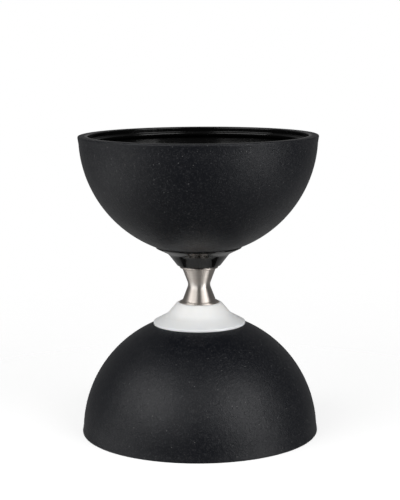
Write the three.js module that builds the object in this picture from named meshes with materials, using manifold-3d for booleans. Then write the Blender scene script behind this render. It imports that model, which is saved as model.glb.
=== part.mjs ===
// A bearing diabolo: two rubber cups, mouths outwards, on two plastic hubs, with a steel string
// spool between them that runs free on two ball bearings, and one long bolt through everything.
//
// Millimetres. +Z is the spin axis and the origin is the middle of the spool. Each piece of a half
// is drawn once, for the upper side, and the lower half holds the same pieces turned half a turn
// about X. Only the hubs and the two ends of the bolt differ.

import * as THREE from 'three';
import { mergeVertices } from 'three/addons/utils/BufferGeometryUtils.js';
import Module from 'manifold-3d';

// ---- Driving dimensions: radii, and heights above the middle of the spool ----

const FIT = 0.05; // gap left between two pieces that touch
const RUNNING_GAP = 0.4; // gap between the spool's ends and the hubs
const SPHERE_GAP = 0.3; // gap between a hub's hollow back and the bowl it follows

const CUP = {
  rimHeight: 70.4, rimRadius: 56, flareHeight: 66.9, edgeRound: 0.6,
  centreHeight: 70, outerRadius: 55.6, innerRadius: 51.2,
  seatHeight: 15.2, bossHeight: 20.5,
  lipRadius: 51.3, lipDepth: 2.4,
  ledgeRadius: 48.9, ledgeDepth: 3.8, ledgeRound: 0.4, underLedgeRadius: 50.7,
};
const HUB = {
  recessRadius: 9.3, shoulderCentreRadius: 9.65, coneAngle: 50, flangeRound: 0.35,
};
const UPPER_HUB = {
  ringHeight: 8.95, ringEdge: 0.1, shoulderRound: 1,
  skirtRadius: 14.6, skirtHeight: 14.85, flangeRadius: 20.2, flangeHeight: 17.45,
};
const LOWER_HUB = {
  ringHeight: 8.5, ringEdge: 0.25, shoulderRound: 1.6,
  skirtRadius: 15.2, skirtHeight: 14.2, flangeRadius: 21.7, flangeHeight: 17.7,
};
const SPOOL = {
  halfLength: 8.7, waistRadius: 5.25, waistRound: 3.7, coneAngle: 20.8,
  coneEndHeight: 7.65, lipRadius: 9, lipHeight: 8.1, lipRound: 0.2, middleBore: 4.5,
};
const BEARING = {
  boreRadius: 2.5, outerRadius: 5.5, width: 4, ballRadius: 0.794, ballCount: 8,
  grooveGap: 0.06, shoulderWidth: 0.6, rebateRadius: 4.8, rebateDepth: 0.4,
};
const SHIELD = { innerRadius: 3.48, thickness: 0.2 };
const CAGE = { innerRadius: 3.55, outerRadius: 4.45, low: -0.35, high: 1.15, pocketRadius: 0.87 };
const SPACER_RADIUS = 3.2;
const BUSH = { bodyRadius: 4, noseRadius: 3.2, noseEnd: 9.3 };
const CUP_WASHER = { radius: 12.5, thickness: 1.5 };
const PLAIN_WASHER = { radius: 5, thickness: 1 };
const BOLT = {
  radius: 2.45, length: 55, headRadius: 4.25, headHeight: 5, endChamfer: 0.5,
  socketAcrossFlats: 4, socketDepth: 2.5,
};
const NUT = { acrossFlats: 8, height: 5, hexHeight: 3.4, collarRadius: 3.9, chamfer: 0.35 };
const INSERT = { radius: 3.4, low: 3.5, height: 1.3, mouthRadius: 3.1 };

// ---- Heights worked out from them ----

const CUP_SPHERE = [0, CUP.centreHeight];
const PITCH_RADIUS = (BEARING.boreRadius + BEARING.outerRadius) / 2;
const BEARING_HEIGHT = SPOOL.halfLength - BEARING.width / 2;
const HUB_FLOOR = SPOOL.halfLength + RUNNING_GAP;
const HUB_BACK = CUP.seatHeight - FIT;
const CUP_WASHER_HEIGHT = CUP.bossHeight + FIT;
const PLAIN_WASHER_HEIGHT = CUP_WASHER_HEIGHT + CUP_WASHER.thickness + FIT;
const CLAMP_HEIGHT = PLAIN_WASHER_HEIGHT + PLAIN_WASHER.thickness + FIT;

// ---- How finely round shapes are divided ----

const FINE_SIDES = 40; // round pieces that show
const RACE_SIDES = 32; // bearing rings, whose grooves have to clear the balls
const SMALL_SIDES = 24; // small pieces inside
const STEPS = { outerBowl: 8, innerBowl: 6, shoulder: 3, hubBack: 3, waist: 4, groove: 4 };
const SPHERE_SIDES = [8, 6]; // round, and from pole to pole
const OVERCUT = 1; // how far a cutting shape stands out of what it cuts

// ---- Materials ----

const finish = (color, roughness, metalness) =>
  new THREE.MeshStandardMaterial({ color, roughness, metalness });

const MATERIAL = {
  rubber: finish(0x202124, 0.6, 0),
  blackPlastic: finish(0x0c0c0d, 0.15, 0),
  whitePlastic: finish(0xebebea, 0.4, 0),
  turnedSteel: finish(0xb4aba4, 0.32, 1),
  bearingSteel: finish(0xc8c8ca, 0.12, 1),
  brass: finish(0xb59a55, 0.35, 1),
  aluminium: finish(0xc4c6c8, 0.4, 1),
  zincPlate: finish(0xb9bcc0, 0.35, 1),
  blackOxide: finish(0x1c1c1e, 0.45, 0.6),
  nylon: finish(0x2f5fa8, 0.5, 0),
};

// ---- Shape helpers ----

// Points [radius, height] along an arc, between two angles in degrees from the radius direction.
function arc([centreRadius, centreHeight], radius, from, to, steps) {
  return Array.from({ length: steps + 1 }, (_, i) => {
    const angle = THREE.MathUtils.degToRad(THREE.MathUtils.lerp(from, to, i / steps));
    return [centreRadius + radius * Math.cos(angle), centreHeight + radius * Math.sin(angle)];
  });
}

// The angle of the point at a given radius on the lower half of a bowl of sphere radius `sphere`.
const bowlAngle = (sphere, radius) => -THREE.MathUtils.radToDeg(Math.acos(radius / sphere));

// A solid of revolution about Z. The outline runs anticlockwise with the radius to the right; it is
// closed here unless it starts on the axis.
function turned(outline, sides) {
  const points = outline.map(([radius, height]) => new THREE.Vector2(radius, height));
  if (outline[0][0] > 0) points.push(points[0].clone());
  return new THREE.LatheGeometry(points, sides).rotateX(Math.PI / 2);
}

// A plain ring or tube between two radii and two heights.
const ring = (inner, outer, low, high, sides) =>
  turned([[inner, low], [outer, low], [outer, high], [inner, high]], sides);

// A hexagonal bar along Z, from height `low` to `high`.
function hexBar(acrossFlats, low, high) {
  const corner = acrossFlats / Math.sqrt(3);
  return new THREE.CylinderGeometry(corner, corner, high - low, 6)
    .rotateX(Math.PI / 2)
    .translate(0, 0, (low + high) / 2);
}

// ---- Boolean helpers ----

const manifold = await Module();
manifold.setup();

function toSolid(geometry) {
  const bare = geometry.clone().deleteAttribute('normal').deleteAttribute('uv');
  const merged = mergeVertices(bare);
  return new manifold.Manifold(new manifold.Mesh({
    numProp: 3,
    vertProperties: merged.attributes.position.array,
    triVerts: new Uint32Array(merged.index.array),
  }));
}

function toGeometry(solid) {
  const mesh = solid.getMesh();
  const geometry = new THREE.BufferGeometry();
  geometry.setAttribute('position', new THREE.BufferAttribute(mesh.vertProperties, mesh.numProp));
  geometry.setIndex(new THREE.BufferAttribute(mesh.triVerts, 1));
  geometry.computeVertexNormals();
  return geometry;
}

// ---- Cup, hub and what clamps them ----

// A flexible bowl with a flat seat and boss at its pole, a slightly flared lip, and a rounded ledge
// that stiffens the inside of the rim.
function cup() {
  const rimRound = CUP.rimHeight - CUP.edgeRound;
  const ledgeTop = CUP.rimHeight - CUP.lipDepth;
  const ledgeFoot = CUP.rimHeight - CUP.ledgeDepth;
  const flareAngle = -THREE.MathUtils.radToDeg(
    Math.asin((CUP.centreHeight - CUP.flareHeight) / CUP.outerRadius));
  const seatRadius = Math.sqrt(CUP.outerRadius ** 2 - (CUP.centreHeight - CUP.seatHeight) ** 2);
  const bossRadius = Math.sqrt(CUP.innerRadius ** 2 - (CUP.centreHeight - CUP.bossHeight) ** 2);
  const hole = BUSH.bodyRadius + FIT;
  return turned([
    [hole, CUP.seatHeight],
    ...arc(CUP_SPHERE, CUP.outerRadius, bowlAngle(CUP.outerRadius, seatRadius), flareAngle,
      STEPS.outerBowl),
    [CUP.rimRadius, rimRound],
    [CUP.rimRadius - CUP.edgeRound, CUP.rimHeight],
    [CUP.lipRadius, CUP.rimHeight],
    [CUP.lipRadius, ledgeTop],
    [CUP.ledgeRadius + CUP.ledgeRound, ledgeTop],
    [CUP.ledgeRadius, ledgeTop - CUP.ledgeRound],
    [CUP.ledgeRadius, ledgeFoot],
    ...arc(CUP_SPHERE, CUP.innerRadius, bowlAngle(CUP.innerRadius, CUP.underLedgeRadius),
      bowlAngle(CUP.innerRadius, bossRadius), STEPS.innerBowl),
    [hole, CUP.bossHeight],
  ], FINE_SIDES);
}

// A cone with a rounded shoulder by the spool, a shallow recess for the spool's lip, and a thin
// flange that spreads over the bowl.
function hub(shape) {
  const { ringHeight, ringEdge, shoulderRound, flangeRadius, flangeHeight } = shape;
  const shoulder = [HUB.shoulderCentreRadius, ringHeight + shoulderRound];
  const backSphere = CUP.outerRadius + SPHERE_GAP;
  const backRadius = Math.sqrt(backSphere ** 2 - (CUP.centreHeight - HUB_BACK) ** 2);
  return turned([
    [BUSH.bodyRadius + FIT, HUB_FLOOR],
    [HUB.recessRadius, HUB_FLOOR],
    [HUB.recessRadius, ringHeight + ringEdge],
    [HUB.recessRadius + ringEdge, ringHeight],
    ...arc(shoulder, shoulderRound, -90, HUB.coneAngle - 90, STEPS.shoulder),
    [shape.skirtRadius, shape.skirtHeight],
    [flangeRadius - HUB.flangeRound, flangeHeight],
    [flangeRadius, flangeHeight + HUB.flangeRound],
    ...arc(CUP_SPHERE, backSphere, bowlAngle(backSphere, flangeRadius),
      bowlAngle(backSphere, backRadius), STEPS.hubBack),
    [BUSH.bodyRadius + FIT, HUB_BACK],
  ], FINE_SIDES);
}

// A stepped tube through hub and cup. Its narrow nose bears on the bearing's inner ring only.
const hubBush = () => turned([
  [BEARING.boreRadius, SPOOL.halfLength + FIT],
  [BUSH.noseRadius, SPOOL.halfLength + FIT],
  [BUSH.noseRadius, BUSH.noseEnd],
  [BUSH.bodyRadius, BUSH.noseEnd],
  [BUSH.bodyRadius, CUP.bossHeight],
  [BEARING.boreRadius, CUP.bossHeight],
], SMALL_SIDES);

const cupWasher = () => ring(BEARING.boreRadius, CUP_WASHER.radius, CUP_WASHER_HEIGHT,
  CUP_WASHER_HEIGHT + CUP_WASHER.thickness, FINE_SIDES);

const plainWasher = () => ring(BEARING.boreRadius, PLAIN_WASHER.radius, PLAIN_WASHER_HEIGHT,
  PLAIN_WASHER_HEIGHT + PLAIN_WASHER.thickness, SMALL_SIDES);

// ---- Spool ----

// Two cones meeting in a rounded waist, with a thin lip at each end and a bearing seat behind it.
function spool() {
  const { waistRadius, waistRound, coneAngle, coneEndHeight, halfLength } = SPOOL;
  const slope = Math.tan(THREE.MathUtils.degToRad(coneAngle));
  const waist = arc([waistRadius + waistRound, 0], waistRound, 180 + coneAngle, 180 - coneAngle,
    STEPS.waist);
  const [tangentRadius, tangentHeight] = waist[waist.length - 1];
  const coneEndRadius = tangentRadius + slope * (coneEndHeight - tangentHeight);
  const lip = [
    [coneEndRadius, coneEndHeight],
    [SPOOL.lipRadius - SPOOL.lipRound, SPOOL.lipHeight - SPOOL.lipRound],
    [SPOOL.lipRadius, SPOOL.lipHeight],
    [SPOOL.lipRadius, halfLength - SPOOL.lipRound],
    [SPOOL.lipRadius - SPOOL.lipRound, halfLength],
  ];
  const seatRadius = BEARING.outerRadius + FIT / 2;
  const seat = [
    [seatRadius, halfLength],
    [seatRadius, halfLength - BEARING.width - FIT],
    [SPOOL.middleBore, halfLength - BEARING.width - FIT],
  ];
  const upperHalf = [...lip, ...seat];
  const lowerHalf = upperHalf.map(([radius, height]) => [radius, -height]).reverse();
  return turned([...lowerHalf, ...waist, ...upperHalf], FINE_SIDES);
}

const innerSpacer = () => {
  const half = SPOOL.halfLength - BEARING.width - FIT;
  return ring(BEARING.boreRadius, SPACER_RADIUS, -half, half, SMALL_SIDES);
};

// ---- Bearing, drawn about its own middle ----

const GROOVE_RADIUS = BEARING.ballRadius + BEARING.grooveGap;
const GROOVE_ANGLE = THREE.MathUtils.radToDeg(Math.acos(BEARING.shoulderWidth / GROOVE_RADIUS));
const HALF_WIDTH = BEARING.width / 2;

function outerRing() {
  const outside = BEARING.outerRadius - FIT / 2;
  const shoulder = PITCH_RADIUS + BEARING.shoulderWidth;
  const rebate = HALF_WIDTH - BEARING.rebateDepth;
  return turned([
    [outside, -HALF_WIDTH],
    [outside, HALF_WIDTH],
    [BEARING.rebateRadius, HALF_WIDTH],
    [BEARING.rebateRadius, rebate],
    [shoulder, rebate],
    ...arc([PITCH_RADIUS, 0], GROOVE_RADIUS, GROOVE_ANGLE, -GROOVE_ANGLE, STEPS.groove),
    [shoulder, -rebate],
    [BEARING.rebateRadius, -rebate],
    [BEARING.rebateRadius, -HALF_WIDTH],
  ], RACE_SIDES);
}

function innerRing() {
  const shoulder = PITCH_RADIUS - BEARING.shoulderWidth;
  return turned([
    [BEARING.boreRadius, -HALF_WIDTH],
    [shoulder, -HALF_WIDTH],
    ...arc([PITCH_RADIUS, 0], GROOVE_RADIUS, 180 + GROOVE_ANGLE, 180 - GROOVE_ANGLE,
      STEPS.groove),
    [shoulder, HALF_WIDTH],
    [BEARING.boreRadius, HALF_WIDTH],
  ], RACE_SIDES);
}

// A thin disc in the outer ring's rebate that keeps dust off the balls.
function shield(side) {
  const low = HALF_WIDTH - BEARING.rebateDepth + FIT;
  return ring(SHIELD.innerRadius, BEARING.rebateRadius - FIT, low, low + SHIELD.thickness,
    SMALL_SIDES).rotateX(side === 'inner' ? Math.PI : 0);
}

// Where each ball sits round the bearing, in its own plane.
const ballPlaces = Array.from({ length: BEARING.ballCount }, (_, i) => {
  const angle = (2 * Math.PI * i) / BEARING.ballCount;
  return new THREE.Vector3(PITCH_RADIUS * Math.cos(angle), PITCH_RADIUS * Math.sin(angle), 0);
});

const ball = () => new THREE.SphereGeometry(BEARING.ballRadius, ...SPHERE_SIDES);

// A crown cage: a ring with one open pocket for each ball.
function cage() {
  let solid = toSolid(ring(CAGE.innerRadius, CAGE.outerRadius, CAGE.low, CAGE.high, SMALL_SIDES));
  for (const place of ballPlaces) {
    const pocket = new THREE.SphereGeometry(CAGE.pocketRadius, ...SPHERE_SIDES).translate(...place);
    solid = solid.subtract(toSolid(pocket));
  }
  return toGeometry(solid);
}

// ---- Through bolt and lock nut ----

// A socket-head screw with its head in the upper cup and its chamfered end in the lower one.
function bolt() {
  const end = CLAMP_HEIGHT - BOLT.length;
  const headTop = CLAMP_HEIGHT + BOLT.headHeight;
  const body = turned([
    [0, end],
    [BOLT.radius - BOLT.endChamfer, end],
    [BOLT.radius, end + BOLT.endChamfer],
    [BOLT.radius, CLAMP_HEIGHT],
    [BOLT.headRadius, CLAMP_HEIGHT],
    [BOLT.headRadius, headTop - BOLT.endChamfer],
    [BOLT.headRadius - BOLT.endChamfer, headTop],
    [0, headTop],
  ], SMALL_SIDES);
  const socket = hexBar(BOLT.socketAcrossFlats, headTop - BOLT.socketDepth,
    headTop + OVERCUT);
  return toGeometry(toSolid(body).subtract(toSolid(socket)));
}

// A hexagon with chamfered corners and a round collar, which holds the insert under a rolled lip.
function lockNut() {
  const low = CLAMP_HEIGHT;
  const top = low + NUT.height;
  const corner = NUT.acrossFlats / Math.sqrt(3);
  const bore = BEARING.boreRadius;
  const envelope = turned([
    [bore, low],
    [corner - NUT.chamfer, low],
    [corner, low + NUT.chamfer],
    [corner, low + NUT.hexHeight - NUT.chamfer],
    [NUT.collarRadius, low + NUT.hexHeight],
    [NUT.collarRadius, top - NUT.chamfer],
    [NUT.collarRadius - NUT.chamfer, top],
    [INSERT.mouthRadius, top],
    [INSERT.radius + FIT, low + INSERT.low + INSERT.height + FIT],
    [INSERT.radius + FIT, low + INSERT.low - FIT],
    [bore, low + INSERT.low - FIT],
  ], SMALL_SIDES);
  return toGeometry(toSolid(envelope).intersect(toSolid(hexBar(NUT.acrossFlats, low, top))));
}

const lockNutInsert = () => ring(BEARING.boreRadius, INSERT.radius, CLAMP_HEIGHT + INSERT.low,
  CLAMP_HEIGHT + INSERT.low + INSERT.height, SMALL_SIDES);

// ---- Assembly ----

function piece(parent, name, geometry, material) {
  const mesh = new THREE.Mesh(geometry, material);
  mesh.name = name;
  parent.add(mesh);
  return mesh;
}

function bearing(side) {
  const group = new THREE.Group();
  group.position.z = BEARING_HEIGHT;
  piece(group, `${side}_outer_ring`, outerRing(), MATERIAL.bearingSteel);
  piece(group, `${side}_inner_ring`, innerRing(), MATERIAL.bearingSteel);
  piece(group, `${side}_shield_outer`, shield('outer'), MATERIAL.bearingSteel);
  piece(group, `${side}_shield_inner`, shield('inner'), MATERIAL.bearingSteel);
  piece(group, `${side}_cage`, cage(), MATERIAL.brass);
  ballPlaces.forEach((place, i) => {
    piece(group, `${side}_ball_${i + 1}`, ball(), MATERIAL.bearingSteel).position.copy(place);
  });
  return group;
}

function half(side, hubShape, hubMaterial) {
  const group = new THREE.Group();
  piece(group, `${side}_cup`, cup(), MATERIAL.rubber);
  piece(group, `${side}_hub`, hub(hubShape), hubMaterial);
  piece(group, `${side}_hub_bush`, hubBush(), MATERIAL.aluminium);
  piece(group, `${side}_cup_washer`, cupWasher(), MATERIAL.zincPlate);
  piece(group, `${side}_plain_washer`, plainWasher(), MATERIAL.zincPlate);
  group.add(bearing(side));
  return group;
}

const diabolo = new THREE.Group();
const lowerHalf = half('lower', LOWER_HUB, MATERIAL.whitePlastic);
piece(lowerHalf, 'lock_nut', lockNut(), MATERIAL.zincPlate);
piece(lowerHalf, 'lock_nut_insert', lockNutInsert(), MATERIAL.nylon);
lowerHalf.rotation.x = Math.PI;
diabolo.add(half('upper', UPPER_HUB, MATERIAL.blackPlastic), lowerHalf);
piece(diabolo, 'axle_spool', spool(), MATERIAL.turnedSteel);
piece(diabolo, 'inner_spacer', innerSpacer(), MATERIAL.aluminium);
piece(diabolo, 'through_bolt', bolt(), MATERIAL.blackOxide);

export default diabolo;
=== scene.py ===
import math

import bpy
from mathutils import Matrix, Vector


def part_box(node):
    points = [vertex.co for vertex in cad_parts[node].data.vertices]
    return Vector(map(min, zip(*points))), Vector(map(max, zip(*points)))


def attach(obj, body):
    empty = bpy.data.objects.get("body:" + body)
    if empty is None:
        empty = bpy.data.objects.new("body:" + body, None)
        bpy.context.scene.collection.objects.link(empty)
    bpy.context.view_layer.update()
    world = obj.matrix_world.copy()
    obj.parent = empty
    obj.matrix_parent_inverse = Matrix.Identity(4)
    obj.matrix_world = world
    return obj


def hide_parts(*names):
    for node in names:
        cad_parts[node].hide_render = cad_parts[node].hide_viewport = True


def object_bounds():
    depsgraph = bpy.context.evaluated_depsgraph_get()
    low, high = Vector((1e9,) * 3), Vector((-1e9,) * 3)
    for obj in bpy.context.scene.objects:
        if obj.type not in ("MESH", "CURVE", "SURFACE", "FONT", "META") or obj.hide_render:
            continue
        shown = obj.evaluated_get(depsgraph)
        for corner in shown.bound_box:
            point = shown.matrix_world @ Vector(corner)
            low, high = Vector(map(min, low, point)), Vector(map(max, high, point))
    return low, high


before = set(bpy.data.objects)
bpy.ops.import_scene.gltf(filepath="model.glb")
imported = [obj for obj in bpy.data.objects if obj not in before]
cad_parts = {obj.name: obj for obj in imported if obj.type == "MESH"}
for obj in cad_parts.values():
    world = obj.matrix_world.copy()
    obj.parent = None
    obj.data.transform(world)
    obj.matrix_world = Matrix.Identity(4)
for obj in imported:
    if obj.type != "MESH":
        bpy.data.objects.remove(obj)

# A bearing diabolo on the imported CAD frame. Every CAD node is replaced by a finer mesh of its piece,
# with a procedural material. A few sizes, such as the hubs' flange heights, are a little off the
# CAD's. Shapes are drawn in millimetres and built in metres. Each piece of a half is drawn for the
# upper side, and turned half a turn about X for the lower one.

CAD_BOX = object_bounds()
MM = 0.001
SIDES = ("upper", "lower")


def top(node):
    """Highest point of a CAD node, in millimetres."""
    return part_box(node)[1][2] / MM


def bottom(node):
    """Lowest point of a CAD node, in millimetres."""
    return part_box(node)[0][2] / MM


def reach(node):
    """Outer radius of a CAD node that is round about the spin axis, in millimetres."""
    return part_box(node)[1][0] / MM


# ---- Sizes in millimetres: radii, and heights above the middle of the spool ----

FIT = 0.05  # gap between two pieces that touch
PRESS_GAP = 0.03  # gap at the cups' seats and round the bearings

RIM_HEIGHT, RIM_RADIUS = top("upper_cup"), reach("upper_cup")
CUP_SEAT, CUP_CENTRE = bottom("upper_cup"), 70.0
CUP_OUTSIDE, CUP_INSIDE = 55.6, 51.2
CUP_BOSS, BOSS_RADIUS = top("upper_hub_bush"), 13.1
FLARE_HEIGHT = 66.9
LIP_RADIUS, LIP_DEPTH = 51.3, 2.4
LEDGE_RADIUS, LEDGE_DEPTH, UNDER_LEDGE_RADIUS = 48.9, 3.9, 50.7

HUB_FLOOR, HUB_RECESS_RADIUS, HUB_CLEARANCE = 9.1, 9.3, 0.06
HUB_RING = {"upper": bottom("upper_hub"), "lower": -top("lower_hub")}
HUB_SHOULDER = {"upper": (10.05, 0.7), "lower": (10.41, 1.0)}  # radius, and how far it is rounded
HUB_SKIRT = {"upper": (14.6, 14.85), "lower": (15.2, 14.2)}
HUB_FLANGE = {"upper": (reach("upper_hub"), 17.6), "lower": (reach("lower_hub"), 17.72)}

SPOOL_HALF, SPOOL_LIP = top("axle_spool"), reach("axle_spool")
WAIST_RADIUS, WAIST_ROUND, CONE_ANGLE, CONE_END = 5.25, 3.7, 20.8, 7.65
SPOOL_BORE, SPOOL_LIP_FOOT = 4.5, 8.02

BEARING_RADIUS, BEARING_BORE = reach("upper_outer_ring"), 2.5
BEARING_MIDDLE = (top("upper_outer_ring") + bottom("upper_outer_ring")) / 2
BEARING_HALF = top("upper_outer_ring") - BEARING_MIDDLE
PITCH_RADIUS, BALL_RADIUS, BALLS = 4.0, 0.794, 8
GROOVE_RADIUS, RACE_SHOULDER = 0.84, 0.6
SHIELD_REBATE, REBATE_DEPTH = 4.8, 0.4
SHIELD_INNER, SHIELD_MIDDLE, SHIELD_THICKNESS, SHIELD_STEP = 3.48, 3.9, 0.2, 0.06
CAGE_INNER, CAGE_OUTER, CAGE_LOW, CAGE_HIGH, CAGE_POCKET = 3.55, 4.45, -0.35, 1.15, 0.87

BUSH_RADIUS, BUSH_NOSE_RADIUS, BUSH_NOSE_END = 4.0, 3.2, 9.3
CLAMP_HEIGHT = top("upper_plain_washer") + FIT
BOLT_RADIUS, BOLT_END = 2.45, bottom("through_bolt")
BOLT_HEAD_RADIUS, BOLT_HEAD_TOP = 4.25, top("through_bolt")
SOCKET_FLATS, SOCKET_DEPTH = 4.0, 2.5
KNURLS, KNURL_DEPTH = 36, 0.09
THREAD_PITCH, THREAD_DEPTH, STEPS_A_TURN = 0.8, 0.42, 10
THREAD_FROM_END, THREAD_FROM_NUT = 0.45, 0.02  # where the thread starts and stops
NUT_FLATS, NUT_TOP, NUT_HEX_HEIGHT, NUT_COLLAR_RADIUS = 8.0, -bottom("lock_nut"), 3.4, 3.9
NUT_CHAMFER_INSET, NUT_CHAMFER_ANGLE, NUT_CHAMFER_STEPS = 0.05, 30, 10
INSERT_RADIUS, INSERT_LOW, INSERT_HEIGHT, INSERT_MOUTH = 3.4, 3.5, 1.3, 3.1

FINE, ROUND, SMALL = 256, 144, 96  # divisions round the axis of large, middling and small pieces

# ---- Floor: how far out it fades in metres, how strongly it shows, and its own light ----

FLOOR_RADIUS, FLOOR_FADE, FLOOR_OPACITY, FLOOR_GLOW = 0.5, (0.075, 0.4), 0.4, 0.35


# ---- Outlines ----

def arc(centre, radius, start, end, steps=24):
    """Points (r, z) on an arc between two angles in degrees from the radius direction."""
    angles = [math.radians(start + (end - start) * i / steps) for i in range(steps + 1)]
    return [(centre[0] + radius * math.cos(a), centre[1] + radius * math.sin(a)) for a in angles]


def bowl_angle(sphere, radius):
    """Angle of the point at `radius` on the lower half of a sphere, for arc()."""
    return -math.degrees(math.acos(radius / sphere))


def walked(points, index, step, distance):
    """The place `distance` along an outline from one of its points, and the points passed."""
    here, passed = points[index], []
    while True:
        index = (index + step) % len(points)
        stretch = (points[index] - here).length
        if stretch > distance:
            return here.lerp(points[index], distance / stretch), passed
        distance -= stretch
        passed.append(index)
        here = points[index]


def held_flat(outline, points, index, step, reach_out=1.3):
    """One point past a corner's curve, or none where there is no room for it.

    It keeps smooth shading flat on the straight stretch that follows.
    """
    neighbour = (index + step) % len(points)
    soft = [corner[2] if len(corner) > 2 else 0.0 for corner in (outline[index], outline[neighbour])]
    stretch = (points[neighbour] - points[index]).length
    if stretch < 2 * reach_out * max(soft):
        return []
    return [points[index].lerp(points[neighbour], reach_out * soft[0] / stretch)]


def softened(outline, steps=5):
    """Rounds off each corner written (r, z, soft): the curve starts and ends `soft` mm from it."""
    points = [Vector(corner[:2]) for corner in outline]
    curves, gone = {}, set()
    for i, corner in enumerate(outline):
        if len(corner) < 3:
            continue
        before, passed_before = walked(points, i, -1, corner[2])
        after, passed_after = walked(points, i, 1, corner[2])
        gone.update(passed_before + passed_after)
        bends = [j / steps for j in range(steps + 1)]
        curve = [before.lerp(points[i], t).lerp(points[i].lerp(after, t), t) for t in bends]
        curves[i] = held_flat(outline, points, i, -1) + curve + held_flat(outline, points, i, 1)
    result = []
    for i, point in enumerate(points):
        if i in curves:
            result += curves[i]
        elif i not in gone:
            result.append(point)
    return [(p.x, p.y) for p in result]


# ---- Meshes ----

def turned(outline, sides=ROUND, shape=None, sharp=40):
    """A solid of revolution about Z from an anticlockwise outline in millimetres.

    The outline closes on itself unless it starts and ends on the axis. `shape(r, z, angle)` may
    give each point another radius, for hexagons, knurls and threads.
    """
    outline = softened(outline)
    on_axis = outline[0][0] < 1e-9
    rings = outline[1:-1] if on_axis else outline
    verts, faces = [], []
    for radius, height in rings:
        for i in range(sides):
            angle = 2 * math.pi * i / sides
            r = shape(radius, height, angle) if shape else radius
            verts.append((r * math.cos(angle), r * math.sin(angle), height))
    stretches = len(rings) - 1 if on_axis else len(rings)
    for k in range(stretches):
        low, high = k * sides, (k + 1) % len(rings) * sides
        for i in range(sides):
            j = (i + 1) % sides
            faces.append((low + i, low + j, high + j, high + i))
    if on_axis:
        first, last = len(verts), len(verts) + 1
        verts += [(0, 0, outline[0][1]), (0, 0, outline[-1][1])]
        high = (len(rings) - 1) * sides
        for i in range(sides):
            j = (i + 1) % sides
            faces.append((first, j, i))
            faces.append((last, high + i, high + j))
    mesh = bpy.data.meshes.new("turned")
    mesh.from_pydata([[c * MM for c in v] for v in verts], [], faces)
    mesh.shade_smooth()
    mesh.set_sharp_from_angle(angle=math.radians(sharp))
    return mesh


def ring(inner, outer, low, high, soft=0.1, sides=ROUND):
    """A ring or tube with softly rounded edges."""
    corners = [(inner, low), (outer, low), (outer, high), (inner, high)]
    return turned([(r, z, soft) for r, z in corners], sides)


def place(node, body, mesh, look, side="upper", lift=0.0, shift=(0.0, 0.0)):
    """Puts a fine mesh where its CAD node is, on the same body, and hides the node."""
    mesh.transform(Matrix.Translation((shift[0] * MM, shift[1] * MM, lift * MM)))
    if side == "lower":
        mesh.transform(Matrix.Rotation(math.pi, 4, "X"))
    mesh.name = "fine_" + node
    mesh.materials.append(look)
    piece = bpy.data.objects.new("fine_" + node, mesh)
    bpy.context.collection.objects.link(piece)
    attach(piece, body)
    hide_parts(node)


# ---- Material helpers ----

def new_material(name, colour, roughness, metallic=0.0):
    """A Principled material and what the builders below need: (material, tree, shader)."""
    material = bpy.data.materials.new(name)
    material.use_nodes = True
    tree = material.node_tree
    shader = tree.nodes["Principled BSDF"]
    shader.inputs["Base Color"].default_value = (*colour, 1)
    shader.inputs["Roughness"].default_value = roughness
    shader.inputs["Metallic"].default_value = metallic
    return material, tree, shader


def add(tree, kind, inputs=(), **settings):
    """Adds a node, with its settings, and its inputs as values or as sockets to link."""
    node = tree.nodes.new(kind)
    for key, value in settings.items():
        setattr(node, key, value)
    for key, value in dict(inputs).items():
        if isinstance(value, bpy.types.NodeSocket):
            tree.links.new(value, node.inputs[key])
        else:
            node.inputs[key].default_value = value
    return node


def place_vector(tree, stretch=(1, 1, 1)):
    """Object coordinates in metres, stretched along each axis."""
    coords = add(tree, "ShaderNodeTexCoord")
    mapping = add(tree, "ShaderNodeMapping", {"Vector": coords.outputs["Object"], "Scale": stretch})
    return mapping.outputs["Vector"]


def around_vector(tree):
    """Coordinates that run (round the axis in radians, height in metres, radius in metres)."""
    coords = add(tree, "ShaderNodeTexCoord")
    parts = add(tree, "ShaderNodeSeparateXYZ", {0: coords.outputs["Object"]})
    angle = add(tree, "ShaderNodeMath", {0: parts.outputs["Y"], 1: parts.outputs["X"]},
                operation="ARCTAN2")
    flat = add(tree, "ShaderNodeCombineXYZ", {0: parts.outputs["X"], 1: parts.outputs["Y"]})
    radius = add(tree, "ShaderNodeVectorMath", {0: flat.outputs[0]}, operation="LENGTH")
    return add(tree, "ShaderNodeCombineXYZ", {
        0: angle.outputs[0], 1: parts.outputs["Z"], 2: radius.outputs["Value"]}).outputs[0]


def noise(tree, vector, scale, detail=2.0, roughness=0.5):
    """Noise from 0 to 1, with `scale` features a metre."""
    return add(tree, "ShaderNodeTexNoise", {
        "Vector": vector, "Scale": scale, "Detail": detail, "Roughness": roughness,
    }).outputs["Fac"]


def remap(tree, value, low, high, out_low, out_high):
    """Maps low..high smoothly to out_low..out_high, and holds it there outside."""
    return add(tree, "ShaderNodeMapRange", {
        "Value": value, "From Min": low, "From Max": high, "To Min": out_low, "To Max": out_high,
    }, interpolation_type="SMOOTHSTEP").outputs["Result"]


def maths(tree, operation, first, second=0.0):
    """A sum, product or other operation on one or two values."""
    return add(tree, "ShaderNodeMath", {0: first, 1: second}, operation=operation).outputs[0]


def mixed(tree, amount, first, second):
    """A colour between two colours. A Mix node keeps its colour sockets after its other kinds."""
    return add(tree, "ShaderNodeMix", {0: amount, 6: first, 7: second}, data_type="RGBA").outputs[2]


def grey(level):
    """An opaque grey as a colour of four values."""
    return (level, level, level, 1)


def bumped(tree, shader, height, depth, strength=1.0):
    """Bump of `depth` metres on the shader."""
    bump = add(tree, "ShaderNodeBump", {"Height": height, "Distance": depth, "Strength": strength})
    tree.links.new(bump.outputs["Normal"], shader.inputs["Normal"])


def link(tree, value, shader, socket):
    """Lets a value drive one of the shader's sockets."""
    tree.links.new(value, shader.inputs[socket])


# ---- Materials ----

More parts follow.
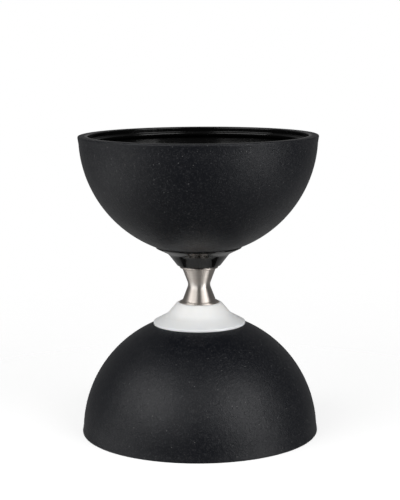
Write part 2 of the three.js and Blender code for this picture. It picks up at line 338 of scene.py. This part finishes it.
def specks(tree, spot, scale, share, size):
    """Small round spots, `scale` cells a metre, in a share of the cells, each of its own strength."""
    cells = add(tree, "ShaderNodeTexVoronoi", {"Vector": spot, "Scale": scale, "Randomness": 1.0})
    dot = remap(tree, cells.outputs["Distance"], size / 2, size, 1.0, 0.0)
    chance = add(tree, "ShaderNodeSeparateColor", {0: cells.outputs["Color"]}).outputs[0]
    return maths(tree, "MULTIPLY", dot, remap(tree, chance, 1 - share, 1.0, 0.0, 1.0))


def hairs(tree, spot, scale, width, patches):
    """Fine curly lines, where `patches` lets them show."""
    ridge = maths(tree, "ABSOLUTE", maths(tree, "SUBTRACT", noise(tree, spot, scale, 1), 0.5))
    return maths(tree, "MULTIPLY", remap(tree, ridge, 0.0, width, 1.0, 0.0), patches)


def rubber():
    """Moulded black rubber: a pimpled matt grain outside, smoother inside, with dust and scuffs."""
    material, tree, shader = new_material("black_rubber", (0.003, 0.0034, 0.0045), 0.38)
    skin_start, skin_end = 0.6, 2.2  # millimetres into the wall, between the two looks
    grain_scale, pimple_scale, dust_scale, scratch_scale = 1150, 1300, 480, 420  # features a metre
    dark, light = (0.0006, 0.0012, 0.0032, 1), (0.0016, 0.0022, 0.0042, 1)
    grain_tone, pimple_tone = (0.018, 0.0185, 0.021, 1), (0.014, 0.0145, 0.016, 1)
    spot, around = place_vector(tree), around_vector(tree)
    height = maths(tree, "ABSOLUTE", add(tree, "ShaderNodeSeparateXYZ", {0: around}).outputs["Y"])
    radius = add(tree, "ShaderNodeSeparateXYZ", {0: around}).outputs["Z"]
    from_centre = add(tree, "ShaderNodeCombineXYZ", {
        0: radius, 1: maths(tree, "SUBTRACT", height, CUP_CENTRE * MM)}).outputs[0]
    depth = add(tree, "ShaderNodeVectorMath", {0: from_centre}, operation="LENGTH").outputs["Value"]
    inside = remap(tree, depth, (CUP_INSIDE + skin_start) * MM, (CUP_INSIDE + skin_end) * MM, 1.0, 0.0)
    cloud = noise(tree, spot, 45, 5, 0.6)
    near_rim = remap(tree, height, 0.05, 0.069, 0.0, 1.0)
    grain = noise(tree, spot, grain_scale, 3, 0.8)
    pimples = specks(tree, spot, pimple_scale, 0.75, 0.3)

    dust = specks(tree, spot, dust_scale, 0.8, 0.13)
    patches = remap(tree, noise(tree, spot, 42, 2), 0.52, 0.66, 0.0, 1.0)
    scratches = hairs(tree, spot, scratch_scale, 0.018, patches)
    streak_place = add(tree, "ShaderNodeVectorMath", {0: around, 1: (2.5, 900.0, 0.0)},
                       operation="MULTIPLY").outputs[0]
    streaks = remap(tree, noise(tree, streak_place, 3.0, 6, 0.7), 0.52, 0.7, 0.0, 1.0)
    broken = remap(tree, noise(tree, spot, 320, 4, 0.7), 0.5, 0.62, 0.0, 1.0)
    scuff = maths(tree, "MULTIPLY", maths(tree, "MULTIPLY", streaks, broken), near_rim)

    base = mixed(tree, cloud, dark, light)
    base = mixed(tree, remap(tree, grain, 0.5, 0.7, 0.0, 1.0), base, grain_tone)
    base = mixed(tree, pimples, base, pimple_tone)
    worn = maths(tree, "MAXIMUM", maths(tree, "MULTIPLY", scuff, 0.7), scratches)
    base = mixed(tree, maths(tree, "MULTIPLY", worn, 0.6), base, grey(0.03))
    base = mixed(tree, dust, base, grey(0.1))
    link(tree, mixed(tree, inside, base, grey(0.0018)), shader, "Base Color")
    rough = maths(tree, "ADD", remap(tree, cloud, 0.3, 0.7, 0.35, 0.41),
                  maths(tree, "MULTIPLY", worn, 0.15))
    link(tree, maths(tree, "SUBTRACT", rough, maths(tree, "MULTIPLY", inside, 0.22)),
         shader, "Roughness")
    shader.inputs["Specular IOR Level"].default_value = 0.26
    relief = maths(tree, "ADD", grain, noise(tree, spot, 130, 2))
    relief = maths(tree, "MULTIPLY", maths(tree, "ADD", relief, pimples),
                   maths(tree, "SUBTRACT", 1.0, maths(tree, "MULTIPLY", inside, 0.92)))
    bumped(tree, shader, relief, 0.0002, 1.0)
    return material


def black_plastic():
    """Glossy injection-moulded plastic with hair-fine swirls and a little dust."""
    material, tree, shader = new_material("black_hub_plastic", (0.003, 0.003, 0.003), 0.1)
    spot, around = place_vector(tree), around_vector(tree)
    swirl_place = add(tree, "ShaderNodeVectorMath", {0: around, 1: (1.5, 4000.0, 0.0)},
                      operation="MULTIPLY").outputs[0]
    swirls = noise(tree, swirl_place, 1.0, 4, 0.7)
    smears = noise(tree, spot, 160, 4)
    link(tree, remap(tree, smears, 0.35, 0.7, 0.07, 0.16), shader, "Roughness")
    dust = maths(tree, "MULTIPLY", specks(tree, spot, 600, 0.07, 0.1), 0.6)
    link(tree, mixed(tree, dust, (0.0032, 0.0031, 0.003, 1), grey(0.06)), shader, "Base Color")
    shader.inputs["Specular IOR Level"].default_value = 0.25
    bumped(tree, shader, swirls, 0.000004, 0.35)
    return material


def white_plastic():
    """Satin white plastic: a fine skin, faint turning rings, a glossier flange edge with a painted
    highlight, and painted shade in the recess.
    """
    material, tree, shader = new_material("white_hub_plastic", (0.8, 0.8, 0.785), 0.36)
    spot, around = place_vector(tree), around_vector(tree)
    cloud = noise(tree, spot, 110, 5, 0.6)
    radius = add(tree, "ShaderNodeSeparateXYZ", {0: around}).outputs["Z"]
    recess_end = HUB_RECESS_RADIUS * MM
    recess = remap(tree, radius, recess_end + 0.0001, recess_end + 0.0012, 1.0, 0.0)
    flange_end = HUB_FLANGE["lower"][0] * MM
    # The flange's outer edge: glossier, and painted a lighter white as a painted highlight along it.
    edge = remap(tree, radius, flange_end - 0.0004, flange_end - 0.0001, 0.0, 1.0)
    # Painted shade: the recess round the spool's lip is painted a darker grey, in patches.
    painted_recess_shade = maths(tree, "MULTIPLY", recess, remap(tree, cloud, 0.3, 0.7, 0.1, 0.5))
    hub_white = mixed(tree, cloud, (0.73, 0.728, 0.716, 1), (0.77, 0.768, 0.756, 1))
    # Painted highlight: the flange's edge is painted a lighter white.
    hub_white = mixed(tree, edge, hub_white, (0.93, 0.93, 0.92, 1))
    link(tree, mixed(tree, painted_recess_shade, hub_white, (0.42, 0.41, 0.39, 1)), shader, "Base Color")
    link(tree, maths(tree, "SUBTRACT", remap(tree, cloud, 0.3, 0.7, 0.3, 0.42),
                     maths(tree, "MULTIPLY", edge, 0.18)), shader, "Roughness")
    rings_place = add(tree, "ShaderNodeVectorMath", {0: around, 1: (0.4, 2200.0, 2200.0)},
                      operation="MULTIPLY").outputs[0]
    rings = noise(tree, rings_place, 1.0, 3)
    skin = noise(tree, spot, 2200, 2)
    bumped(tree, shader, maths(tree, "ADD", skin, maths(tree, "MULTIPLY", rings, 3.0)), 0.00002, 0.6)
    shader.inputs["Subsurface Weight"].default_value = 0.5
    shader.inputs["Subsurface Radius"].default_value = (1.0, 0.9, 0.8)
    shader.inputs["Subsurface Scale"].default_value = 0.006
    return material


def turned_steel():
    """Stainless steel straight off the lathe: fine rings, and a waist that the string has polished."""
    material, tree, shader = new_material("spool_steel", (0.58, 0.53, 0.485), 0.4, 1.0)
    spot, around = place_vector(tree), around_vector(tree)
    parts = add(tree, "ShaderNodeSeparateXYZ", {0: around})
    along = maths(tree, "ABSOLUTE", parts.outputs["Y"])
    rings_place = add(tree, "ShaderNodeVectorMath", {0: around, 1: (0.35, 9000.0, 0.0)},
                      operation="MULTIPLY").outputs[0]
    rings = noise(tree, rings_place, 1.0, 4, 0.75)
    coarse_place = add(tree, "ShaderNodeVectorMath", {0: around, 1: (0.2, 1600.0, 0.0)},
                       operation="MULTIPLY").outputs[0]
    coarse = noise(tree, coarse_place, 1.0, 3)
    worn = remap(tree, along, 0.0008, 0.0026, 1.0, 0.0)
    stain = noise(tree, spot, 500, 4, 0.6)
    tone = mixed(tree, coarse, (0.48, 0.439, 0.4, 1), (0.6, 0.555, 0.515, 1))
    tone = mixed(tree, maths(tree, "MULTIPLY", worn, 0.5), tone, (0.66, 0.63, 0.6, 1))
    link(tree, mixed(tree, remap(tree, stain, 0.55, 0.75, 0.0, 0.25), tone, (0.4, 0.37, 0.34, 1)),
         shader, "Base Color")
    link(tree, maths(tree, "SUBTRACT", remap(tree, rings, 0.3, 0.7, 0.42, 0.5),
                     maths(tree, "MULTIPLY", worn, 0.06)), shader, "Roughness")
    tangent = add(tree, "ShaderNodeTangent", direction_type="RADIAL", axis="Z")
    link(tree, tangent.outputs[0], shader, "Tangent")
    shader.inputs["Anisotropic"].default_value = 0.91
    shader.inputs["Anisotropic Rotation"].default_value = 0.25
    bumped(tree, shader, maths(tree, "ADD", rings, maths(tree, "MULTIPLY", coarse, 2.0)), 0.000004, 0.5)
    return material


def metal(name, dark, light, roughness, streak=(1.0, 1.0, 1.0), depth=0.000004):
    """A plain metal between two tones, with cloudy or streaky variation and a fine surface."""
    material, tree, shader = new_material(name, light, roughness, 1.0)
    spot = place_vector(tree, streak)
    cloud = noise(tree, spot, 350, 5, 0.65)
    fine = noise(tree, spot, 5000, 3)
    link(tree, mixed(tree, cloud, (*dark, 1), (*light, 1)), shader, "Base Color")
    link(tree, remap(tree, cloud, 0.3, 0.7, roughness * 0.8, roughness * 1.3), shader, "Roughness")
    bumped(tree, shader, fine, depth, 0.5)
    return material


def nylon():
    """Blue nylon of the lock nut's insert, scored by the thread."""
    material, tree, shader = new_material("lock_nylon", (0.03, 0.11, 0.36), 0.5)
    spot = place_vector(tree)
    cloud = noise(tree, spot, 900, 4)
    link(tree, mixed(tree, cloud, (0.02, 0.085, 0.3, 1), (0.045, 0.14, 0.42, 1)), shader, "Base Color")
    link(tree, remap(tree, cloud, 0.3, 0.7, 0.4, 0.6), shader, "Roughness")
    bumped(tree, shader, noise(tree, spot, 3500, 2), 0.00001, 0.5)
    return material


def pale_floor():
    """A matt white floor with some light of its own, which fades out into the backdrop."""
    material, tree, shader = new_material("pale_floor", (0.9, 0.9, 0.9), 0.7)
    spot = place_vector(tree)
    link(tree, mixed(tree, noise(tree, spot, 6, 3), grey(0.89), grey(0.91)), shader, "Base Color")
    away = add(tree, "ShaderNodeVectorMath", {0: spot}, operation="LENGTH").outputs["Value"]
    link(tree, remap(tree, away, *FLOOR_FADE, FLOOR_OPACITY, 0.0), shader, "Alpha")
    shader.inputs["Specular IOR Level"].default_value = 0.0
    shader.inputs["Emission Color"].default_value = grey(1.0)
    shader.inputs["Emission Strength"].default_value = FLOOR_GLOW
    return material


LOOKS = {
    "cup_rubber": rubber(),
    "black_hub_plastic": black_plastic(),
    "white_hub_plastic": white_plastic(),
    "spool_steel": turned_steel(),
    "bearing_steel": metal("bearing_steel", (0.5, 0.5, 0.51), (0.62, 0.62, 0.63), 0.12),
    "cage_brass": metal("cage_brass", (0.45, 0.32, 0.1), (0.62, 0.47, 0.18), 0.3),
    "bush_aluminium": metal("bush_aluminium", (0.5, 0.51, 0.52), (0.66, 0.67, 0.68), 0.35, (1, 1, 12)),
    "zinc_plated_steel": metal("zinc_plated_steel", (0.42, 0.45, 0.48), (0.62, 0.63, 0.62), 0.3),
    "black_oxide_steel": metal("black_oxide_steel", (0.02, 0.02, 0.021), (0.045, 0.044, 0.043), 0.36),
    "lock_nylon": nylon(),
}


# ---- Pieces of each half, drawn for the upper side ----

def cup_mesh():
    """A bowl with a flat seat and boss at its pole, a flared lip and a stiffening ledge inside."""
    centre = (0, CUP_CENTRE)
    hole = BUSH_RADIUS + FIT
    seat_radius = math.sqrt(CUP_OUTSIDE ** 2 - (CUP_CENTRE - CUP_SEAT) ** 2)
    flare_angle = -math.degrees(math.asin((CUP_CENTRE - FLARE_HEIGHT) / CUP_OUTSIDE))
    outside = arc(centre, CUP_OUTSIDE, bowl_angle(CUP_OUTSIDE, seat_radius), flare_angle, 48)
    inside = arc(centre, CUP_INSIDE, bowl_angle(CUP_INSIDE, UNDER_LEDGE_RADIUS),
                 bowl_angle(CUP_INSIDE, BOSS_RADIUS), 44)
    ledge_top, ledge_foot = RIM_HEIGHT - LIP_DEPTH, RIM_HEIGHT - LEDGE_DEPTH
    return turned([
        (hole, CUP_SEAT, 0.1),
        *outside,
        (RIM_RADIUS, RIM_HEIGHT - 0.5, 0.4),
        (RIM_RADIUS - 0.3, RIM_HEIGHT, 0.35),
        (LIP_RADIUS, RIM_HEIGHT, 0.5),
        (LIP_RADIUS, ledge_top, 0.35),
        (LEDGE_RADIUS, ledge_top, 0.6),
        (LEDGE_RADIUS, ledge_foot, 0.6),
        (UNDER_LEDGE_RADIUS + 0.05, ledge_foot - 0.9, 0.5),
        *inside[1:-1],
        (BOSS_RADIUS, CUP_BOSS, 0.5),
        (hole, CUP_BOSS, 0.1),
    ], FINE)


def hub_mesh(side):
    """A cone with a rounded shoulder, a shallow recess for the spool's lip, and a thin flange."""
    back_sphere = CUP_OUTSIDE + HUB_CLEARANCE
    seat = CUP_SEAT - PRESS_GAP
    back_radius = math.sqrt(back_sphere ** 2 - (CUP_CENTRE - seat) ** 2)
    flange_radius, flange_height = HUB_FLANGE[side]
    back = arc((0, CUP_CENTRE), back_sphere, bowl_angle(back_sphere, flange_radius),
               bowl_angle(back_sphere, back_radius), 12)
    shoulder_radius, shoulder_soft = HUB_SHOULDER[side]
    return turned([
        (BUSH_RADIUS + FIT, HUB_FLOOR, 0.1),
        (HUB_RECESS_RADIUS, HUB_FLOOR, 0.1),
        (HUB_RECESS_RADIUS, HUB_RING[side], 0.15),
        (shoulder_radius, HUB_RING[side], shoulder_soft),
        (*HUB_SKIRT[side], 1.2),
        (flange_radius, flange_height, 0.15),
        (*back[0], 0.12),
        *back[1:],
        (BUSH_RADIUS + FIT, seat, 0.1),
    ], FINE)


def hub_bush_mesh():
    """A stepped tube through hub and cup, whose nose bears on the bearing's inner ring."""
    low = SPOOL_HALF + FIT
    return turned([
        (BEARING_BORE, low, 0.1),
        (BUSH_NOSE_RADIUS, low, 0.15),
        (BUSH_NOSE_RADIUS, BUSH_NOSE_END, 0.1),
        (BUSH_RADIUS, BUSH_NOSE_END, 0.15),
        (BUSH_RADIUS, CUP_BOSS, 0.15),
        (BEARING_BORE, CUP_BOSS, 0.1),
    ])


def washer_mesh(node, soft):
    """A stamped washer, rounded more on the side that the punch came from."""
    outer, low, high = reach(node), bottom(node), top(node)
    return turned([
        (BEARING_BORE, low, soft / 2),
        (outer, low, soft / 2),
        (outer, high, soft),
        (BEARING_BORE, high, soft),
    ])


# ---- Bearing pieces, drawn about the bearing's own middle ----

GROOVE_ANGLE = math.degrees(math.acos(RACE_SHOULDER / GROOVE_RADIUS))


def outer_ring_mesh():
    """The outer race, with a groove for the balls and a rebate for the shield on each side."""
    shoulder = PITCH_RADIUS + RACE_SHOULDER
    rebate = BEARING_HALF - REBATE_DEPTH
    return turned([
        (BEARING_RADIUS, -BEARING_HALF, 0.2),
        (BEARING_RADIUS, BEARING_HALF, 0.2),
        (SHIELD_REBATE, BEARING_HALF, 0.06),
        (SHIELD_REBATE, rebate),
        (shoulder, rebate, 0.04),
        *arc((PITCH_RADIUS, 0), GROOVE_RADIUS, GROOVE_ANGLE, -GROOVE_ANGLE),
        (shoulder, -rebate, 0.04),
        (SHIELD_REBATE, -rebate),
        (SHIELD_REBATE, -BEARING_HALF, 0.06),
    ], SMALL)


def inner_ring_mesh():
    """The inner race, with a groove for the balls."""
    shoulder = PITCH_RADIUS - RACE_SHOULDER
    return turned([
        (BEARING_BORE, -BEARING_HALF, 0.15),
        (shoulder, -BEARING_HALF, 0.1),
        *arc((PITCH_RADIUS, 0), GROOVE_RADIUS, 180 + GROOVE_ANGLE, 180 - GROOVE_ANGLE),
        (shoulder, BEARING_HALF, 0.1),
        (BEARING_BORE, BEARING_HALF, 0.15),
    ], SMALL)


def shield_mesh(node):
    """A pressed disc with a shallow step round its inner edge. Drawn for the outward side."""
    inner, outer, mid, step = SHIELD_INNER, SHIELD_REBATE - FIT, SHIELD_MIDDLE, SHIELD_STEP
    low = BEARING_HALF - REBATE_DEPTH + FIT
    high = low + SHIELD_THICKNESS
    mesh = turned([
        (inner, low, 0.04),
        (mid, low, 0.04),
        (mid + step, low + step, 0.04),
        (outer, low + step, 0.03),
        (outer, high, 0.06),
        (mid, high, 0.04),
        (mid - step, high - step, 0.04),
        (inner, high - step, 0.04),
    ], SMALL)
    if node.endswith("_inner"):
        mesh.transform(Matrix.Rotation(math.pi, 4, "X"))
    return mesh


def ball_mesh():
    """A ball drawn as a solid of revolution about its own axis."""
    return turned(arc((0, 0), BALL_RADIUS, -90, 90, 24), 48)


def cage_mesh():
    """A crown cage: a ring whose lower edge is scooped out over each ball."""
    sides = 24 * BALLS
    mesh = bpy.data.meshes.new("cage")
    verts, faces = [], []
    for i in range(sides):
        angle = 2 * math.pi * i / sides
        off_ball = (angle + math.pi / BALLS) % (2 * math.pi / BALLS) - math.pi / BALLS
        across = abs(off_ball) * PITCH_RADIUS
        scooped = across < CAGE_POCKET
        low = math.sqrt(CAGE_POCKET ** 2 - across ** 2) if scooped else CAGE_LOW
        for radius, height in ((CAGE_INNER, low), (CAGE_OUTER, low), (CAGE_OUTER, CAGE_HIGH),
                               (CAGE_INNER, CAGE_HIGH)):
            verts.append((radius * math.cos(angle) * MM, radius * math.sin(angle) * MM, height * MM))
        here, there = 4 * i, 4 * ((i + 1) % sides)
        for k in range(4):
            m = (k + 1) % 4
            faces.append((here + k, there + k, there + m, here + m))
    mesh.from_pydata(verts, [], faces)
    mesh.shade_smooth()
    mesh.set_sharp_from_angle(angle=math.radians(30))
    return mesh


# ---- Bolt, nut and insert ----

def hexagon(flats, angle):
    """Radius of a hexagon, from its width across flats."""
    return flats / 2 / math.cos((angle + math.pi / 6) % (math.pi / 3) - math.pi / 6)


def bolt_shape(r, z, angle):
    """Knurled head with a hexagonal socket at the top, and a helical thread on the lower end."""
    in_head = z > CLAMP_HEIGHT + 0.3
    if in_head and abs(r - BOLT_HEAD_RADIUS) < 0.01:
        return r - KNURL_DEPTH * (0.5 + 0.5 * math.cos(KNURLS * angle)) ** 2
    if in_head and r < SOCKET_FLATS / 2 + 0.3:
        return hexagon(2 * r, angle)
    if r > BOLT_RADIUS - 0.01 and z < -CLAMP_HEIGHT:
        turn = (z / THREAD_PITCH - angle / (2 * math.pi)) % 1.0
        return r - THREAD_DEPTH * min(1.0, max(0.0, 2.6 * abs(turn - 0.5) - 0.15))
    return r


def bolt_mesh():
    """A socket-head screw, head up, with its thread cut only where it comes out of the nut."""
    thread_steps = round((-CLAMP_HEIGHT - BOLT_END - 0.5) / (THREAD_PITCH / STEPS_A_TURN))
    thread_low, thread_high = BOLT_END + THREAD_FROM_END, -CLAMP_HEIGHT - THREAD_FROM_NUT
    thread = [(BOLT_RADIUS, thread_low + (thread_high - thread_low) * i / thread_steps)
              for i in range(thread_steps + 1)]
    socket = SOCKET_FLATS / 2
    return turned([
        (0, BOLT_END),
        (BOLT_RADIUS - 0.5, BOLT_END, 0.1),
        *thread,
        (BOLT_RADIUS, -CLAMP_HEIGHT + 0.5),
        (BOLT_RADIUS, CLAMP_HEIGHT),
        (BOLT_HEAD_RADIUS, CLAMP_HEIGHT, 0.15),
        (BOLT_HEAD_RADIUS, CLAMP_HEIGHT + 0.5),
        (BOLT_HEAD_RADIUS, BOLT_HEAD_TOP - 0.7),
        (BOLT_HEAD_RADIUS - 0.1, BOLT_HEAD_TOP - 0.55, 0.1),
        (BOLT_HEAD_RADIUS - 0.5, BOLT_HEAD_TOP, 0.15),
        (socket + 0.25, BOLT_HEAD_TOP),
        (socket, BOLT_HEAD_TOP - 0.2),
        (socket, BOLT_HEAD_TOP - SOCKET_DEPTH + 0.5),
        (socket - 0.15, BOLT_HEAD_TOP - SOCKET_DEPTH + 0.45),
        (0, BOLT_HEAD_TOP - SOCKET_DEPTH),
    ], ROUND, bolt_shape, 30)


def nut_shape(r, z, angle):
    """The hexagonal part of the nut, chamfered where a cone cuts its corners."""
    if r < NUT_COLLAR_RADIUS + 0.01:
        return r
    return min(r, hexagon(NUT_FLATS, angle))


def nut_mesh():
    """A lock nut: chamfered hexagon, round collar, and a lip rolled over the insert."""
    corner = NUT_FLATS / math.sqrt(3)
    low, hex_top = CLAMP_HEIGHT, CLAMP_HEIGHT + NUT_HEX_HEIGHT
    slope = math.tan(math.radians(NUT_CHAMFER_ANGLE))
    flat = NUT_FLATS / 2
    chamfer = [flat - NUT_CHAMFER_INSET + (corner - flat + NUT_CHAMFER_INSET) * i / NUT_CHAMFER_STEPS
               for i in range(NUT_CHAMFER_STEPS + 1)]
    rise = [(r - chamfer[0]) * slope for r in chamfer]
    insert_low, insert_high = low + INSERT_LOW - FIT, low + INSERT_LOW + INSERT_HEIGHT + FIT
    return turned([
        (BEARING_BORE, low + 0.3),
        (BEARING_BORE + 0.3, low),
        *[(r, low + h) for r, h in zip(chamfer, rise)],
        *[(r, hex_top - h) for r, h in zip(chamfer[::-1], rise[::-1])],
        (NUT_COLLAR_RADIUS, hex_top + 0.02),
        (NUT_COLLAR_RADIUS, NUT_TOP - 0.1, 0.6),
        (INSERT_MOUTH, NUT_TOP, 0.15),
        (INSERT_MOUTH + 0.1, insert_high, 0.05),
        (INSERT_RADIUS + FIT, insert_high, 0.05),
        (INSERT_RADIUS + FIT, insert_low),
        (BEARING_BORE, insert_low, 0.05),
    ], ROUND, nut_shape, 30)


def spool_mesh():
    """Two cones meeting in a rounded waist, with a thin lip at each end and bearing seats inside."""
    slope = math.tan(math.radians(CONE_ANGLE))
    waist = arc((WAIST_RADIUS + WAIST_ROUND, 0), WAIST_ROUND, 180 + CONE_ANGLE, 180 - CONE_ANGLE)
    cone_end = waist[-1][0] + slope * (CONE_END - waist[-1][1])
    seat = SPOOL_HALF - 2 * BEARING_HALF - FIT
    upper = [
        (cone_end, CONE_END, 0.3),
        (SPOOL_LIP, SPOOL_LIP_FOOT, 0.25),
        (SPOOL_LIP, SPOOL_HALF, 0.18),
        (BEARING_RADIUS + PRESS_GAP, SPOOL_HALF, 0.15),
        (BEARING_RADIUS + PRESS_GAP, seat, 0.05),
        (SPOOL_BORE, seat, 0.1),
    ]
    lower = [(corner[0], -corner[1], *corner[2:]) for corner in upper[::-1]]
    return turned([*lower, *waist, *upper], FINE)


# ---- Assembly ----

for side in SIDES:
    hub_slot = "black_hub_plastic" if side == "upper" else "white_hub_plastic"
    place(side + "_cup", "cups", cup_mesh(), LOOKS["cup_rubber"], side)
    place(side + "_hub", "cups", hub_mesh(side), LOOKS[hub_slot], side)
    place(side + "_hub_bush", "cups", hub_bush_mesh(), LOOKS["bush_aluminium"], side)
    for kind, soft in (("cup", 0.3), ("plain", 0.15)):
        place(f"{side}_{kind}_washer", "cups",
              washer_mesh(f"upper_{kind}_washer", soft), LOOKS["zinc_plated_steel"], side)

    steel = LOOKS["bearing_steel"]
    balls_body = side + "_balls"
    place(side + "_outer_ring", "spool", outer_ring_mesh(), steel, side, BEARING_MIDDLE)
    place(side + "_inner_ring", "cups", inner_ring_mesh(), steel, side, BEARING_MIDDLE)
    for node in (side + "_shield_outer", side + "_shield_inner"):
        place(node, "spool", shield_mesh(node), steel, side, BEARING_MIDDLE)
    place(side + "_cage", balls_body, cage_mesh(), LOOKS["cage_brass"], side, BEARING_MIDDLE)
    for i in range(BALLS):
        angle = 2 * math.pi * i / BALLS
        place(f"{side}_ball_{i + 1}", balls_body, ball_mesh(), steel, side,
              BEARING_MIDDLE, (PITCH_RADIUS * math.cos(angle), PITCH_RADIUS * math.sin(angle)))

place("axle_spool", "spool", spool_mesh(), LOOKS["spool_steel"])
place("inner_spacer", "cups",
      ring(BEARING_BORE, BUSH_NOSE_RADIUS, bottom("inner_spacer"), top("inner_spacer"), 0.15),
      LOOKS["bush_aluminium"])
place("through_bolt", "cups", bolt_mesh(), LOOKS["black_oxide_steel"])
place("lock_nut", "cups", nut_mesh(), LOOKS["zinc_plated_steel"], "lower")
place("lock_nut_insert", "cups",
      ring(BEARING_BORE, INSERT_RADIUS, CLAMP_HEIGHT + INSERT_LOW,
           CLAMP_HEIGHT + INSERT_LOW + INSERT_HEIGHT, 0.15), LOOKS["lock_nylon"], "lower")


# ---- Studio: floor, world, soft boxes and camera ----

def floor_disc(radius, height, sides=96):
    """A large flat disc that the object stands on."""
    mesh = bpy.data.meshes.new("floor")
    turns = [2 * math.pi * i / sides for i in range(sides)]
    mesh.from_pydata([(radius * math.cos(a), radius * math.sin(a), height) for a in turns], [],
                     [tuple(range(sides))])
    mesh.materials.append(pale_floor())
    disc = bpy.data.objects.new("floor", mesh)
    bpy.context.collection.objects.link(disc)
    return disc


def soft_box(name, azimuth, elevation, across, tall, radiance, distance=1.2):
    """A rectangular soft light facing the object, with its angular width and height in degrees.

    Azimuth 0 is the camera's side, and positive angles are to the right. It can't itself be seen.
    """
    turn, rise = math.radians(azimuth), math.radians(elevation)
    light = bpy.data.lights.new(name, "AREA")
    light.shape = "RECTANGLE"
    light.size = 2 * distance * math.tan(math.radians(across / 2)) * math.cos(rise)
    light.size_y = 2 * distance * math.tan(math.radians(tall / 2))
    light.energy = math.pi * light.size * light.size_y * radiance
    box = bpy.data.objects.new(name, light)
    bpy.context.collection.objects.link(box)
    outward = Vector((math.sin(turn) * math.cos(rise), -math.cos(turn) * math.cos(rise), math.sin(rise)))
    box.location = outward * distance
    box.rotation_euler = outward.to_track_quat("Z", "Y").to_euler()
    box.visible_camera = False


def studio_world(around, behind, below):
    """White to the camera. As light it is dim, with its own levels behind and below the object."""
    world = bpy.data.worlds.new("studio")
    world.use_nodes = True
    tree = world.node_tree
    tree.nodes.clear()
    coords = add(tree, "ShaderNodeTexCoord")
    toward = add(tree, "ShaderNodeSeparateXYZ", {0: coords.outputs["Generated"]})
    level = remap(tree, toward.outputs["Y"], 0.2, 0.7, around, behind)
    low = remap(tree, toward.outputs["Z"], -0.55, -0.2, below, 0.0)
    rays = add(tree, "ShaderNodeLightPath")
    strength = add(tree, "ShaderNodeMix", {0: rays.outputs["Is Camera Ray"],
                                           2: maths(tree, "ADD", level, low), 3: 1.0},
                   data_type="FLOAT").outputs[0]
    light = add(tree, "ShaderNodeBackground", {"Color": grey(1.0), "Strength": strength})
    add(tree, "ShaderNodeOutputWorld", {"Surface": light.outputs[0]})
    bpy.context.scene.world = world


def camera(distance, elevation, pitch, roll, aside, lens):
    """A camera `distance` metres from the spool's middle, looking down by `pitch` radians."""
    data = bpy.data.cameras.new("camera")
    data.lens = lens
    data.clip_start = 0.01
    eye = bpy.data.objects.new("camera", data)
    bpy.context.collection.objects.link(eye)
    position = Vector((aside, -distance * math.cos(elevation), distance * math.sin(elevation)))
    turn = Matrix.Rotation(math.pi / 2 - pitch, 4, "X") @ Matrix.Rotation(roll, 4, "Z")
    eye.matrix_world = Matrix.Translation(position) @ turn
    bpy.context.scene.camera = eye


floor = floor_disc(FLOOR_RADIUS, CAD_BOX[0][2])  # hidden below from bounced light
floor.visible_glossy = floor.visible_diffuse = floor.visible_shadow = False
soft_box("left_key", azimuth=-55, elevation=31, across=70, tall=38, radiance=3.75)
soft_box("right_key", azimuth=46.5, elevation=31, across=50, tall=32, radiance=4.9)
soft_box("left_low_fill", azimuth=-82, elevation=-20, across=59, tall=31, radiance=1.25)
soft_box("right_low_fill", azimuth=58.8, elevation=-8, across=27, tall=37, radiance=3.4)
studio_world(around=0.11, behind=0.18, below=0.2)
camera(distance=0.66407, elevation=0.17991, pitch=0.15576, roll=math.radians(-0.355),
       aside=0.000516, lens=101.255)
bpy.context.scene.view_settings.view_transform = "Standard"
